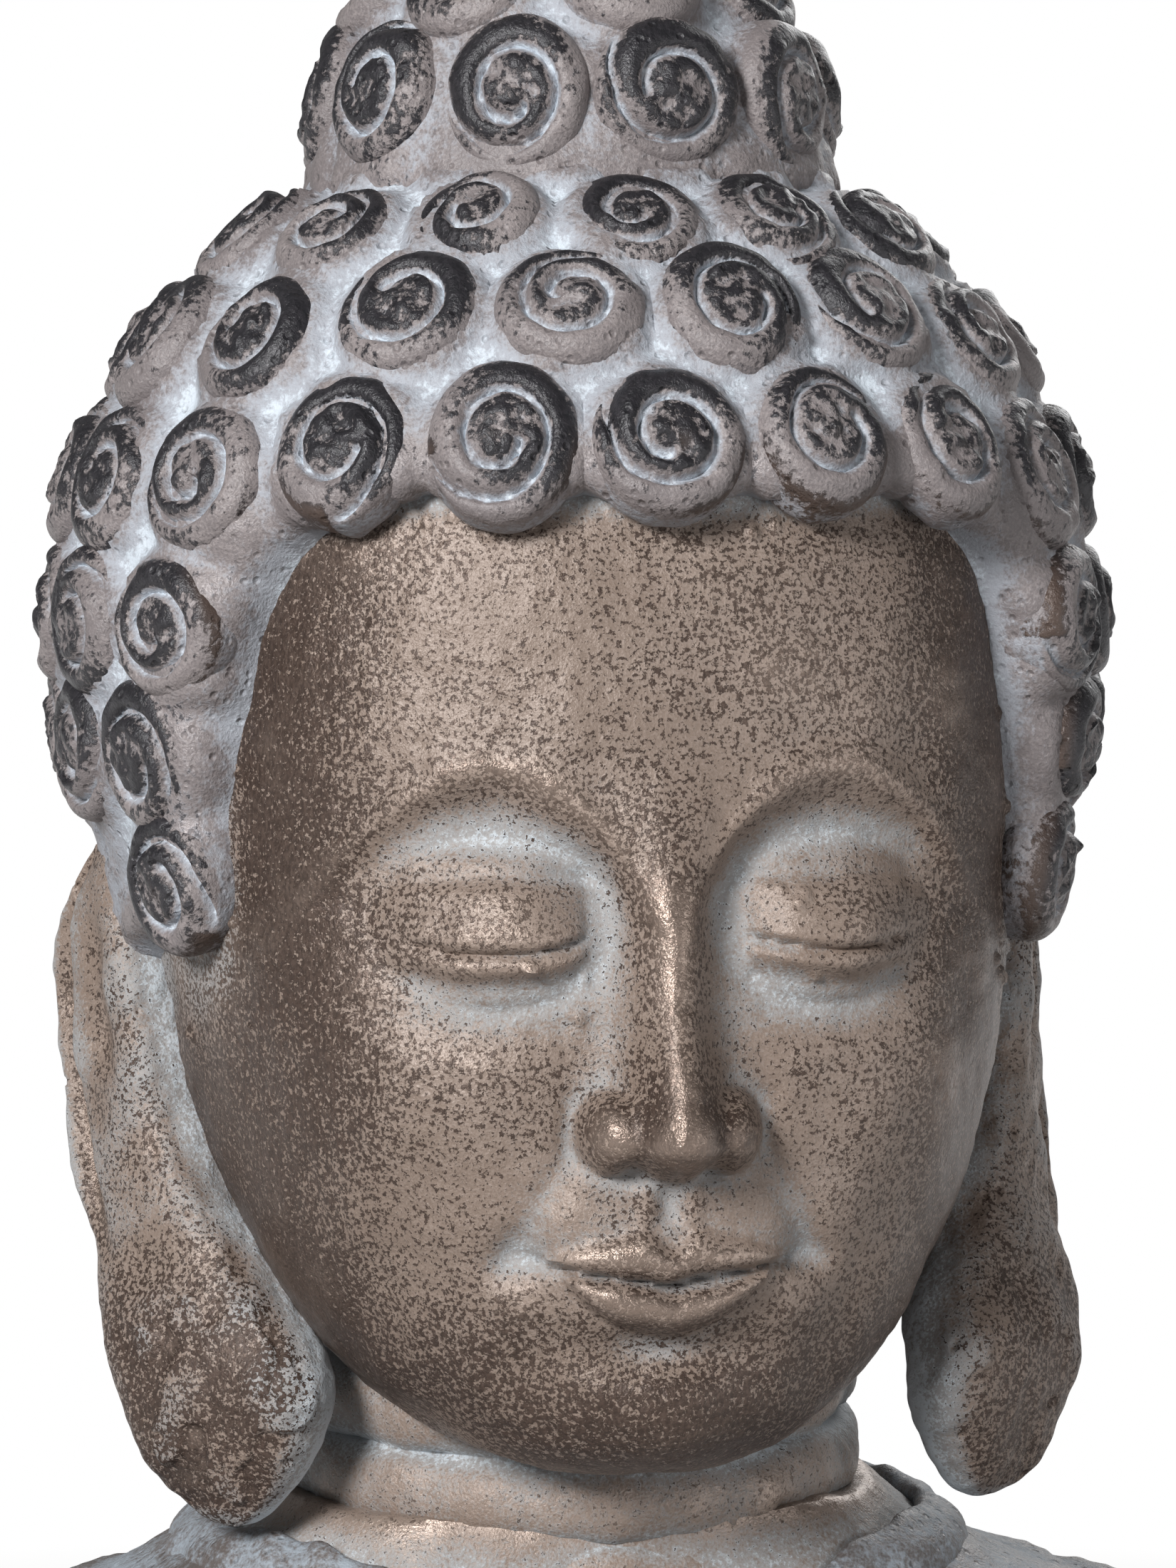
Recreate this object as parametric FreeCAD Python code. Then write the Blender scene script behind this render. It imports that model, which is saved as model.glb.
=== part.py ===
"""Buddha bust in cast stone: head, neck and robed shoulders on a closed base.

Millimetres. +Z up, the face looks along -Y, +X is the figure's left.
The origin is the middle of the plane that the felt pads rest on.
The casting is hollow: shells luted together, tied through the neck by a grouted steel dowel.
The snail curls are pressed one by one and luted to the scalp in level rings.
"""
import FreeCAD
import Part
import math
import os

V = FreeCAD.Vector

# Driving dimensions
TOTAL_HEIGHT = 300.0
HEAD_WIDTH = 141.0              # over the curls
CHIN_HEIGHT = 98.0
SHOULDER_WIDTH = 244.0
WALL = 9.0                      # casting thickness

# Scalp and topknot
CURL_HEIGHT = 5.5
SCALP_RADIUS = HEAD_WIDTH / 2 - CURL_HEIGHT
SCALP_CENTRE = V(0, 0, 202)
SCALP_TAPER = 8.0               # degrees: below its equator the scalp narrows as a cone
SCALP_BOTTOM = 120.0
HAIR_RIM_FRONT = V(0, -30, 170)  # the lower rim of the hair slants from here
HAIR_RIM_BACK = V(0, 60, 136)   # down to here
TOPKNOT_RADIUS = 30.0
TOPKNOT_CENTRE = V(0, 2, TOTAL_HEIGHT - CURL_HEIGHT - TOPKNOT_RADIUS)

# Head core from the chin to under the scalp: height, half width, half depth, centre in Y
HEAD_LEVELS = (
    (CHIN_HEIGHT, 16.0, 14.0, -36.0),
    (101.0, 26.0, 22.0, -32.0),
    (108.0, 36.0, 34.0, -22.0),
    (120.0, 44.0, 47.0, -12.0),
    (136.0, 49.5, 56.0, -5.0),
    (155.0, 52.5, 60.5, -2.0),
    (175.0, 54.0, 62.0, -1.0),
    (200.0, 54.0, 62.0, -1.0),
    (222.0, 51.0, 58.0, -1.0),
    (238.0, 42.0, 48.0, 0.0),
    (250.0, 28.0, 34.0, 0.0),
    (256.0, 14.0, 18.0, 0.0),
)
NOSE_CENTRE = V(0, -57, 155)
NOSE_RADII = (7.0, 12.5, 28.0)
NOSE_TIP_CENTRE = V(0, -63, 144)
NOSE_TIP_RADII = (9.5, 10.5, 7.5)
HAIRLINE_HEIGHT = 222.0
HAIR_OPENING_HALF_WIDTH = 51.0
HAIR_OPENING_CORNER = 23.0
HAIR_OPENING_BACK = -24.0       # how far back the face opening cuts the scalp
SEAM_Y = 0.0                    # plane of the front and rear mould halves

# Ear: centre, radii and turn about Z of its upper rim, its stem and its lobe, on the figure's left
EAR_FORMS = (
    ((60.0, 6.0, 158.0), (7.5, 15.0, 21.0), -12.0),
    ((55.0, -4.0, 137.0), (8.0, 13.0, 34.0), -20.0),
    ((49.5, -14.0, 112.5), (16.5, 9.0, 24.0), 40.0),
)

# Neck
NECK_RADIUS = 36.5
NECK_CENTRE_Y = 5.0
NECK_BOTTOM = 62.0
NECK_TOP = 130.0
NECK_HOLLOW_RADIUS = 24.0
FOLD_HEIGHTS = (74.0, 84.5, 95.0)
FOLD_STAND = 2.6

# Bust: height, half width, half depth, centre in Y
PAD_THICKNESS = 2.0
BUST_CENTRE_Y = 4.0
BUST_LEVELS = (
    (PAD_THICKNESS, 112.0, 50.0, BUST_CENTRE_Y),
    (14.0, 118.5, 54.5, BUST_CENTRE_Y),
    (30.0, SHOULDER_WIDTH / 2, 57.0, BUST_CENTRE_Y),
    (45.0, 119.0, 56.0, BUST_CENTRE_Y),
    (56.5, 109.0, 52.5, BUST_CENTRE_Y),
    (65.0, 92.0, 47.5, BUST_CENTRE_Y),
    (71.0, 75.0, 43.0, BUST_CENTRE_Y),
    (76.0, 62.0, 39.5, BUST_CENTRE_Y),
    (82.0, 50.0, 37.0, BUST_CENTRE_Y),
    (90.0, 39.5, 35.0, BUST_CENTRE_Y),
)
SQUARENESS = 2.5                # superellipse power of a level
LEVEL_POINTS = 28
COLLAR_HALF_WIDTH = 50.0        # the rolled edge of the robe, seen from above, to its middle
COLLAR_HALF_DEPTH = 45.0
COLLAR_BAND = 6.0
COLLAR_STAND = 2.8              # how far it stands off the shoulders

# Base and hidden parts
BASE_THICKNESS = 10.0
BASE_HOLE_RADIUS = 6.0
PAD_RADIUS = 9.0
PAD_PLACES = ((80.0, 24.0), (80.0, -18.0))
DOWEL_RADIUS = 5.0
DOWEL_BOTTOM = 44.0
DOWEL_TOP = 168.0

# No curls grow where the ears stand: from here, to here, below this height
EAR_ZONE_FRONT = -12.0
EAR_ZONE_BACK = 34.0
EAR_ZONE_TOP = 184.0

# Curls: name, surface, height at the front, drop towards the back, curls per full ring, first azimuth,
# half angle left open at the face, radius
RINGS = (
    ("nape_curls", "scalp", 141.0, 0.0, 19, 9.5, 128, 8.2),
    ("lower_back_curls", "scalp", 157.0, 0.0, 20, 0.0, 108, 8.4),
    ("lower_side_curls", "scalp", 172.5, 0.0, 20, 9.0, 60, 8.6),
    ("side_curls", "scalp", 188.5, 0.0, 22, 0.0, 60, 8.8),
    ("temple_curls", "scalp", 204.5, 0.0, 21, 8.6, 56, 8.8),
    ("hairline_curls", "scalp", 227.5, 5.5, 19, 0.0, 0, 9.1),
    ("crown_lower_curls", "scalp", 243.0, 4.5, 16, 11.2, 0, 8.8),
    ("crown_upper_curls", "scalp", 253.5, 2.0, 13, 0.0, 0, 8.0),
    ("topknot_base_curls", "scalp", 259.5, 0.0, 14, 12.0, 0, 5.4),
    ("topknot_lower_curls", "topknot", 270.5, 0.0, 10, 12.6, 0, 9.0),
    ("topknot_upper_curls", "topknot", 284.5, 0.0, 7, 8.0, 0, 8.6),
    ("topknot_crown_curl", "topknot", 294.5, 0.0, 1, 0.0, 0, 9.0),
)
RING_DROP_FROM = 32.0           # azimuth where a ring starts to drop
RING_DROP_TO = 60.0             # azimuth where its drop is full
CURL_FOOT = 5.0                 # how deep a curl reaches before the scalp trims it
CURL_ROLL_SHARE = 0.27          # radius of the outer roll, as a share of the curl's radius
CURL_BUTTON_SHARE = 0.4         # flat top of the button, as a share of the groove's radius
CURL_NEIGHBOURS = 0.97          # curls nearer than this share of their radii are trimmed to each other

# Curls that may reach an ear: beyond this X, ahead of this Y, below this height
EAR_NEAR_X = 40.0
EAR_NEAR_Y = 50.0
EAR_NEAR_TOP = 205.0

# Working sizes
CUT_REACH = 300.0               # cutting blocks reach this far from the origin
SMALLEST_SHELL = 2000.0         # mm3: smaller leftovers of a shell are crumbs
SMALLEST_BAND = 500.0
SMALLEST_SOLID = 20.0


def scaled(shape, x, y, z):
    """The shape stretched along the axes."""
    matrix = FreeCAD.Matrix()
    matrix.scale(x, y, z)
    return shape.transformGeometry(matrix)


def moved(shape, place, turn=0.0):
    """A copy turned about Z by turn degrees and moved to place."""
    copy = shape.copy()
    copy.Placement = FreeCAD.Placement(place, FreeCAD.Rotation(V(0, 0, 1), turn))
    return copy


def ellipsoid(place, rx, ry, rz, turn=0.0):
    """A solid ellipsoid, turned about Z."""
    return moved(scaled(Part.makeSphere(1.0), rx, ry, rz), place, turn)


def scalp_form():
    """A ball over a cone, the full form that the curls stand on."""
    taper = math.radians(SCALP_TAPER)
    c, r = SCALP_CENTRE.z, SCALP_RADIUS
    top = V(0, 0, c + r)
    joint = V(r * math.cos(taper), 0, c - r * math.sin(taper))
    middle = V(r * math.sqrt(0.5), 0, c + r * math.sqrt(0.5))
    foot = V(joint.x - math.tan(taper) * (joint.z - SCALP_BOTTOM), 0, SCALP_BOTTOM)
    edges = [
        Part.Arc(top, middle, joint).toShape(),
        Part.makeLine(joint, foot),
        Part.makeLine(foot, V(0, 0, SCALP_BOTTOM)),
        Part.makeLine(V(0, 0, SCALP_BOTTOM), top),
    ]
    return Part.Face(Part.Wire(edges)).revolve(V(0, 0, 0), V(0, 0, 1), 360)


def level(height, half_width, half_depth, centre_y, power=SQUARENESS):
    """A closed smooth superellipse outline at one height."""
    points = []
    for i in range(LEVEL_POINTS):
        angle = 2 * math.pi * i / LEVEL_POINTS
        c, s = math.cos(angle), math.sin(angle)
        x = half_width * math.copysign(abs(c) ** (2 / power), c)
        y = half_depth * math.copysign(abs(s) ** (2 / power), s)
        points.append(V(x, centre_y + y, height))
    curve = Part.BSplineCurve()
    curve.interpolate(points, PeriodicFlag=True)
    return Part.Wire(curve.toShape())


def stacked(levels, inset=0.0):
    """A solid through stacked outlines, shrunk by inset at the sides and at the top."""
    bottom, top = levels[0][0], levels[-1][0]
    wires = []
    for height, half_width, half_depth, centre_y in levels:
        share = (height - bottom) / (top - bottom)
        outline = (half_width - inset, half_depth - inset, centre_y)
        if min(outline[:2]) > 0.4 * inset:
            wires.append(level(height - inset * share, *outline))
    return Part.makeLoft(wires, True, False, False)


def half_space(front):
    """A block in front of or behind the mould seam."""
    size = 2 * CUT_REACH
    y = SEAM_Y - size if front else SEAM_Y
    return Part.makeBox(size, size, size, V(-CUT_REACH, y, -CUT_REACH / 2))


def head_core():
    """The outer form of the head under the hair, with a plain nose."""
    nose = ellipsoid(NOSE_CENTRE, *NOSE_RADII)
    nose_tip = ellipsoid(NOSE_TIP_CENTRE, *NOSE_TIP_RADII)
    return only_solids(stacked(HEAD_LEVELS).fuse([nose, nose_tip]))


def under_rim():
    """A wedge that holds everything below the slanting lower rim of the hair."""
    fall = (HAIR_RIM_FRONT.z - HAIR_RIM_BACK.z) / (HAIR_RIM_BACK.y - HAIR_RIM_FRONT.y)
    reach = CUT_REACH / 2
    front = V(-reach, HAIR_RIM_FRONT.y - reach, HAIR_RIM_FRONT.z + fall * reach)
    back = V(-reach, HAIR_RIM_BACK.y + reach, HAIR_RIM_BACK.z - fall * reach)
    outline = [front, back, V(-reach, back.y, 0), V(-reach, front.y, 0), front]
    return Part.Face(Part.makePolygon(outline)).extrude(V(2 * reach, 0, 0))


def hair_opening():
    """An arched block that opens the scalp over the face."""
    low = V(-HAIR_OPENING_HALF_WIDTH, -CUT_REACH, 0)
    depth = CUT_REACH + HAIR_OPENING_BACK
    block = Part.makeBox(2 * HAIR_OPENING_HALF_WIDTH, depth, HAIRLINE_HEIGHT, low)
    top_corners = [
        edge for edge in block.Edges
        if all(abs(vertex.Point.z - HAIRLINE_HEIGHT) < 0.1 for vertex in edge.Vertexes)
        and abs(edge.Vertexes[0].Point.x - edge.Vertexes[1].Point.x) < 0.1
    ]
    return block.makeFillet(HAIR_OPENING_CORNER, top_corners)


def surface_point(surface, height, azimuth):
    """A point on the scalp or the topknot at a height, and the outward direction. Azimuth 0 is the front."""
    centre, radius = (SCALP_CENTRE, SCALP_RADIUS) if surface == "scalp" else (TOPKNOT_CENTRE, TOPKNOT_RADIUS)
    lowest = -90.0 if surface == "topknot" else -SCALP_TAPER
    up = max(-1.0, min(1.0, (height - centre.z) / radius))
    elevation = math.radians(max(lowest, math.degrees(math.asin(up))))
    a = math.radians(azimuth)
    out = V(math.sin(a), -math.cos(a), 0)
    normal = out * math.cos(elevation) + V(0, 0, math.sin(elevation))
    point = centre + normal * radius
    if height < point.z - 0.001:
        slope = (point.z - height) * math.tan(math.radians(SCALP_TAPER))
        point = point - out * slope - V(0, 0, point.z - height)
    return point, normal


def curl(radius):
    """A round roll about a button, standing on the XY plane and reaching CURL_FOOT below it."""
    h = CURL_HEIGHT
    roll = CURL_ROLL_SHARE * radius
    ring_at = radius - roll
    groove = ring_at - roll
    button = CURL_BUTTON_SHARE * groove
    edges = [
        Part.makeLine(V(0, 0, -CURL_FOOT), V(radius, 0, -CURL_FOOT)),
        Part.makeLine(V(radius, 0, -CURL_FOOT), V(radius, 0, h - roll)),
        Part.Arc(V(radius, 0, h - roll), V(ring_at, 0, h), V(groove, 0, h - roll)).toShape(),
        Part.makeLine(V(groove, 0, h - roll), V(button, 0, h)),
        Part.makeLine(V(button, 0, h), V(0, 0, h)),
        Part.makeLine(V(0, 0, h), V(0, 0, -CURL_FOOT)),
    ]
    return Part.Face(Part.Wire(edges)).revolve(V(0, 0, 0), V(0, 0, 1), 360)


def curl_ring(surface, height, drop, count, first, open_half, radius):
    """Each curl of a level ring and its centre, left out where the ring crosses the face and the ears."""
    model = curl(radius)
    curls = []
    for i in range(count):
        azimuth = (first + i * 360.0 / count + 180.0) % 360.0 - 180.0
        if abs(azimuth) < open_half:
            continue
        share = (abs(azimuth) - RING_DROP_FROM) / (RING_DROP_TO - RING_DROP_FROM)
        lower = drop * max(0.0, min(1.0, share))
        point, normal = surface_point(surface, height - lower, azimuth)
        if point.z < EAR_ZONE_TOP and EAR_ZONE_FRONT < point.y < EAR_ZONE_BACK:
            continue
        copy = model.copy()
        copy.Placement = FreeCAD.Placement(point, FreeCAD.Rotation(V(0, 0, 1), normal))
        curls.append((copy, point + normal * (CURL_HEIGHT / 2)))
    return curls


def ear(side):
    """One long ear: an upper rim, a stem and a broad lobe that turns forward."""
    pieces = [
        ellipsoid(V(side * x, y, z), rx, ry, rz, side * turn)
        for (x, y, z), (rx, ry, rz), turn in EAR_FORMS
    ]
    return pieces[0].fuse(pieces[1:])


def neck_sleeve():
    """The neck with its three soft folds."""
    centre = V(0, NECK_CENTRE_Y, 0)
    sleeve = Part.makeCylinder(NECK_RADIUS, NECK_TOP - NECK_BOTTOM, centre + V(0, 0, NECK_BOTTOM))
    folds = [
        Part.makeTorus(NECK_RADIUS - 1.5, FOLD_STAND + 1.5, centre + V(0, 0, height))
        for height in FOLD_HEIGHTS
    ]
    return sleeve.fuse(folds)


def collar():
    """The full block of the robe's edge: an oval band under a skin that stands off the shoulders."""
    ovals = []
    for half_band in (COLLAR_BAND / 2, -COLLAR_BAND / 2):
        centre = V(0, BUST_CENTRE_Y, BUST_LEVELS[3][0])
        side = centre - V(COLLAR_HALF_WIDTH + half_band, 0, 0)
        front = centre - V(0, COLLAR_HALF_DEPTH + half_band, 0)
        outline = Part.Wire(Part.Ellipse(side, front, centre).toShape())
        ovals.append(Part.Face(outline).extrude(V(0, 0, TOTAL_HEIGHT / 2)))
    return stacked(BUST_LEVELS, -COLLAR_STAND).common(ovals[0].cut(ovals[1]))


def only_solids(shape, smallest=SMALLEST_SOLID):
    """A compound of the solids in a boolean result, without crumbs."""
    return Part.makeCompound([solid for solid in shape.Solids if solid.Volume > smallest])


def build():
    """Every piece by node name."""
    core = head_core()
    core_hollow = stacked(HEAD_LEVELS, WALL)
    full_scalp = scalp_form()
    scalp_solid = full_scalp.cut(under_rim())
    opening = hair_opening()
    neck = neck_sleeve()
    bust = stacked(BUST_LEVELS)
    dowel = Part.makeCylinder(DOWEL_RADIUS, DOWEL_TOP - DOWEL_BOTTOM, V(0, NECK_CENTRE_Y, DOWEL_BOTTOM))
    neck_bore = Part.makeCylinder(NECK_HOLLOW_RADIUS, NECK_TOP + 20 - NECK_BOTTOM, V(0, NECK_CENTRE_Y, NECK_BOTTOM - 1))

    parts = {}
    head = core.cut(core_hollow).cut(neck_bore)
    parts["face_shell"] = head.common(half_space(True))
    parts["rear_head_shell"] = head.common(half_space(False))

    scalp = scalp_solid.cut(core).cut(opening)
    scalp = scalp.cut(Part.makeSphere(TOPKNOT_RADIUS - WALL, TOPKNOT_CENTRE))
    parts["scalp_shell"] = only_solids(scalp, SMALLEST_SHELL)

    topknot = Part.makeSphere(TOPKNOT_RADIUS, TOPKNOT_CENTRE)
    topknot = topknot.cut(Part.makeSphere(TOPKNOT_RADIUS - WALL, TOPKNOT_CENTRE))
    parts["topknot_shell"] = only_solids(topknot.cut(scalp_solid).cut(core), SMALLEST_SHELL)

    topknot_ball = Part.makeSphere(TOPKNOT_RADIUS, TOPKNOT_CENTRE)
    placed = []
    for name, surface, height, drop, count, first, open_half, radius in RINGS:
        curls = []
        for solid, centre in curl_ring(surface, height, drop, count, first, open_half, radius):
            under = [full_scalp]
            if centre.z > TOPKNOT_CENTRE.z - TOPKNOT_RADIUS / 2:
                under.append(topknot_ball)
            near = [
                other for other, place, size in placed
                if place.distanceToPoint(centre) < CURL_NEIGHBOURS * (size + radius)
            ]
            solid = max(solid.cut(under + near).Solids, key=lambda s: s.Volume)
            curls.append(solid)
            placed.append((solid, centre, radius))
        parts[name] = Part.makeCompound(curls)

    for name, side in (("left_ear", 1), ("right_ear", -1)):
        near = [
            other for other, place, size in placed
            if place.x * side > EAR_NEAR_X and place.y < EAR_NEAR_Y and place.z < EAR_NEAR_TOP
        ]
        shape = ear(side).cut([scalp_solid, core, neck, bust] + near)
        parts[name] = max(shape.Solids, key=lambda s: s.Volume)

    parts["neck_sleeve"] = only_solids(neck.cut(neck_bore).cut(core), SMALLEST_SHELL)
    collar_solid = collar()
    inner = stacked(BUST_LEVELS, WALL)
    base_outline = BUST_LEVELS[0]
    base_wires = [
        level(z, base_outline[1] - WALL, base_outline[2] - WALL, BUST_CENTRE_Y)
        for z in (PAD_THICKNESS, PAD_THICKNESS + BASE_THICKNESS)
    ]
    base = Part.makeLoft(base_wires, True, True, False)
    shell = bust.cut([inner, base, neck, neck_bore, core])
    parts["front_bust_shell"] = only_solids(shell.common(half_space(True)), SMALLEST_SHELL)
    parts["rear_bust_shell"] = only_solids(shell.common(half_space(False)), SMALLEST_SHELL)
    ears = [parts["left_ear"], parts["right_ear"]]
    parts["robe_collar"] = only_solids(collar_solid.cut([bust, neck, core] + ears), SMALLEST_BAND)

    hole = Part.makeCylinder(BASE_HOLE_RADIUS, BASE_THICKNESS + 2, V(0, 0, PAD_THICKNESS - 1))
    parts["base_plate"] = base.cut(hole)
    pads = []
    for x, y in PAD_PLACES:
        for side in (1, -1):
            pads.append(Part.makeCylinder(PAD_RADIUS, PAD_THICKNESS, V(side * x, y, 0)))
    parts["base_pads"] = Part.makeCompound(pads)
    parts["neck_dowel"] = dowel
    grout = Part.makeCylinder(NECK_HOLLOW_RADIUS, NECK_TOP - NECK_BOTTOM, V(0, NECK_CENTRE_Y, NECK_BOTTOM))
    parts["neck_grout"] = grout.cut(dowel)
    return parts


def main():
    os.makedirs("parts", exist_ok=True)
    for name, shape in build().items():
        solids = shape.Solids
        volume = sum(solid.Volume for solid in solids)
        print(f"{name}: {len(solids)} solids, {volume / 1000:.1f} cm3, valid {shape.isValid()}")
        shape.exportStep(f"parts/{name}.step")


main()
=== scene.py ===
# Buddha bust in cast stone: the looks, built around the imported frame
import bpy
import math
import numpy as np
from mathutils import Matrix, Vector


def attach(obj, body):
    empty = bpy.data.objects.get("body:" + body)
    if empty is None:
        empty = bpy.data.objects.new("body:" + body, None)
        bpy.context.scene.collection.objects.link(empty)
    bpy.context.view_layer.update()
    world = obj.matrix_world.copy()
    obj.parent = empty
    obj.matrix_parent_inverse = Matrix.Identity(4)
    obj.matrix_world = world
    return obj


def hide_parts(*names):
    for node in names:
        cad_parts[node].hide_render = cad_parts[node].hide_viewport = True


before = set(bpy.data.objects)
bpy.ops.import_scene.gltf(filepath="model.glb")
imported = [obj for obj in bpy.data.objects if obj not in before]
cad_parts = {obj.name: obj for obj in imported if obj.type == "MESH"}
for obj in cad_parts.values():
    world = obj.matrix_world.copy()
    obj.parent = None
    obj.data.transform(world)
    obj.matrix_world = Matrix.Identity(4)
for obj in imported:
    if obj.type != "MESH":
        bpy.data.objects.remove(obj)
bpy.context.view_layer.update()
mm = 0.001


def deselectAll():
    bpy.ops.object.select_all(action="DESELECT")


def pickOnly(piece):
    deselectAll()
    piece.select_set(True)
    bpy.context.view_layer.objects.active = piece


def readArray(items, field, width, kind=float):
    flat = np.empty(len(items) * width, dtype=kind)
    items.foreach_get(field, flat)
    return flat.reshape(-1, width)


def pointsOf(piece):  # in mm
    return readArray(piece.data.vertices, "co", 3) / mm


def normalsOf(piece):
    return readArray(piece.data.vertices, "normal", 3)


def edgesOf(piece):
    return readArray(piece.data.edges, "vertices", 2, np.int32)


def setPoints(piece, points):
    piece.data.vertices.foreach_set("co", (points * mm).ravel())
    piece.data.update()


def setAttribute(piece, name, values):
    layer = piece.data.attributes.get(name) or piece.data.attributes.new(name, "FLOAT", "POINT")
    layer.data.foreach_set("value", values.astype(np.float32))


def relaxed(values, edges, rounds):  # neighbours' average, over and over
    a, b = edges[:, 0], edges[:, 1]
    count = len(values)
    degree = np.maximum(np.bincount(edges.ravel(), minlength=count), 1)
    values = values.reshape(count, -1).astype(float)
    for _ in range(rounds):
        for c in range(values.shape[1]):
            column = values[:, c]
            total = np.bincount(a, column[b], count) + np.bincount(b, column[a], count)
            values[:, c] = 0.4 * column + 0.6 * total / degree
    return values


def addRelief(piece, reach, height, spread=3):  # +1 on crests, -1 in hollows, for the paint
    edges = edgesOf(piece)
    points = pointsOf(piece)
    step = np.median(np.linalg.norm(points[edges[:, 0]] - points[edges[:, 1]], axis=1))
    rounds = int(min(160, max(4, 1.6 * (reach / step) ** 2)))
    stand = ((points - relaxed(points, edges, rounds)) * normalsOf(piece)).sum(1)
    relief = np.clip(relaxed(stand, edges, spread)[:, 0] / height, -1, 1)
    setAttribute(piece, "relief", relief)


def smooth(low, high, value):  # 0 below low, 1 above high
    t = np.clip((value - low) / (high - low), 0, 1)
    return t * t * (3 - 2 * t)


def bell(x, z, place, reach, power=1.0):  # 1 at place, 0 past its reach
    d = ((x - place[0]) / reach[0]) ** 2 + ((z - place[1]) / reach[1]) ** 2
    return np.exp(-d ** power)


def curveThrough(at, xs, ys):  # a smooth curve through a few points
    xs, ys = np.array(xs, float), np.array(ys, float)
    slopes = np.gradient(ys, xs)
    i = np.clip(np.searchsorted(xs, at) - 1, 0, len(xs) - 2)
    gap = xs[i + 1] - xs[i]
    t = np.clip((at - xs[i]) / gap, 0, 1)
    rise = (ys[i + 1] - ys[i]) * t * t * (3 - 2 * t)
    return ys[i] + rise + gap * t * (1 - t) * (slopes[i] * (1 - t) - slopes[i + 1] * t)


def softMax(a, b, blend):
    return (a + b + np.sqrt((a - b) ** 2 + blend * blend)) / 2


def ripple(points, size, seed, waves=18):  # smooth unevenness of about -1 to 1, size in mm
    draw = np.random.default_rng(seed)
    ways = draw.normal(size=(waves, 3))
    ways /= np.linalg.norm(ways, axis=1)[:, None]
    pace = 2 * math.pi / size * draw.uniform(0.6, 1.5, waves)
    shift = draw.uniform(0, 2 * math.pi, waves)
    return np.sin(points @ (ways * pace[:, None]).T + shift).sum(1) / math.sqrt(waves)


def uneven(points, parts):  # each part is height, size and seed
    return sum(height * ripple(points, size, seed) for height, size, seed in parts)


def addBubbles(points, normals, allowed, count, sizes, seed):  # air bubbles cast as small beads
    draw = np.random.default_rng(seed)
    spots = np.flatnonzero(allowed)
    if not len(spots):
        return points
    rise = np.zeros(len(points))
    for spot in draw.choice(spots, count):
        radius = draw.uniform(*sizes)
        near = np.linalg.norm(points - points[spot], axis=1) / radius
        rise = np.maximum(rise, 0.75 * radius * np.sqrt(np.clip(1 - near ** 2, 0, 1)))
    return points + normals * rise[:, None]


def startBall(name, segments, rings):
    deselectAll()
    bpy.ops.mesh.primitive_uv_sphere_add(segments=segments, ring_count=rings, radius=mm)
    ball = bpy.context.object
    ball.name = ball.data.name = name
    return ball


def ballAngles(ball, frontShare=0.0, middleShare=0.0):  # azimuth from the front, angle down from the top
    p = pointsOf(ball)
    azimuth = np.arctan2(p[:, 0], -p[:, 1])
    down = np.arccos(np.clip(p[:, 2], -1, 1))
    azimuth = azimuth - frontShare * np.sin(azimuth)  # closer columns at the front
    down = down + middleShare * np.sin(2 * down) / 2  # closer rows at mid height
    return azimuth, down


def keepHalf(piece, name, front, seam):  # one mould half, capped along the seam
    deselectAll()
    half = piece.copy()
    half.data = piece.data.copy()
    half.name = half.data.name = name
    bpy.context.scene.collection.objects.link(half)
    pickOnly(half)
    bpy.ops.object.mode_set(mode="EDIT")
    bpy.ops.mesh.select_all(action="SELECT")
    bpy.ops.mesh.bisect(
        plane_co=(0, seam * mm, 0), plane_no=(0, 1, 0), use_fill=True, clear_outer=front, clear_inner=not front
    )
    bpy.ops.object.mode_set(mode="OBJECT")
    return half


def finishPiece(piece, node, material=None):
    pickOnly(piece)
    bpy.ops.object.shade_smooth_by_angle(angle=math.radians(60))
    if material:
        piece.data.materials.clear()
        piece.data.materials.append(material)
    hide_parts(node)
    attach(piece, "root")
    print("finished", piece.name, len(piece.data.polygons), "faces")


def linearColour(code):
    channels = []
    for i in (0, 2, 4):
        v = int(code[i:i + 2], 16) / 255
        channels.append(v / 12.92 if v <= 0.04045 else ((v + 0.055) / 1.055) ** 2.4)
    return (*channels, 1.0)


def addNode(tree, kind, settings=None, links=None):  # settings are fields or sockets, links are sockets
    node = tree.nodes.new(kind)
    for key, value in (settings or {}).items():
        if isinstance(key, str) and hasattr(node, key) and key not in node.inputs:
            setattr(node, key, value)
        else:
            node.inputs[key].default_value = value
    for key, source in (links or {}).items():
        tree.links.new(source, node.inputs[key])
    return node


def startMaterial(name):
    material = bpy.data.materials.new(name)
    material.use_nodes = True
    material.node_tree.nodes.clear()
    return material, material.node_tree


def perMetre(sizeMm):  # noise scale for spots of this size
    return 1 / (sizeMm * mm)


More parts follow.
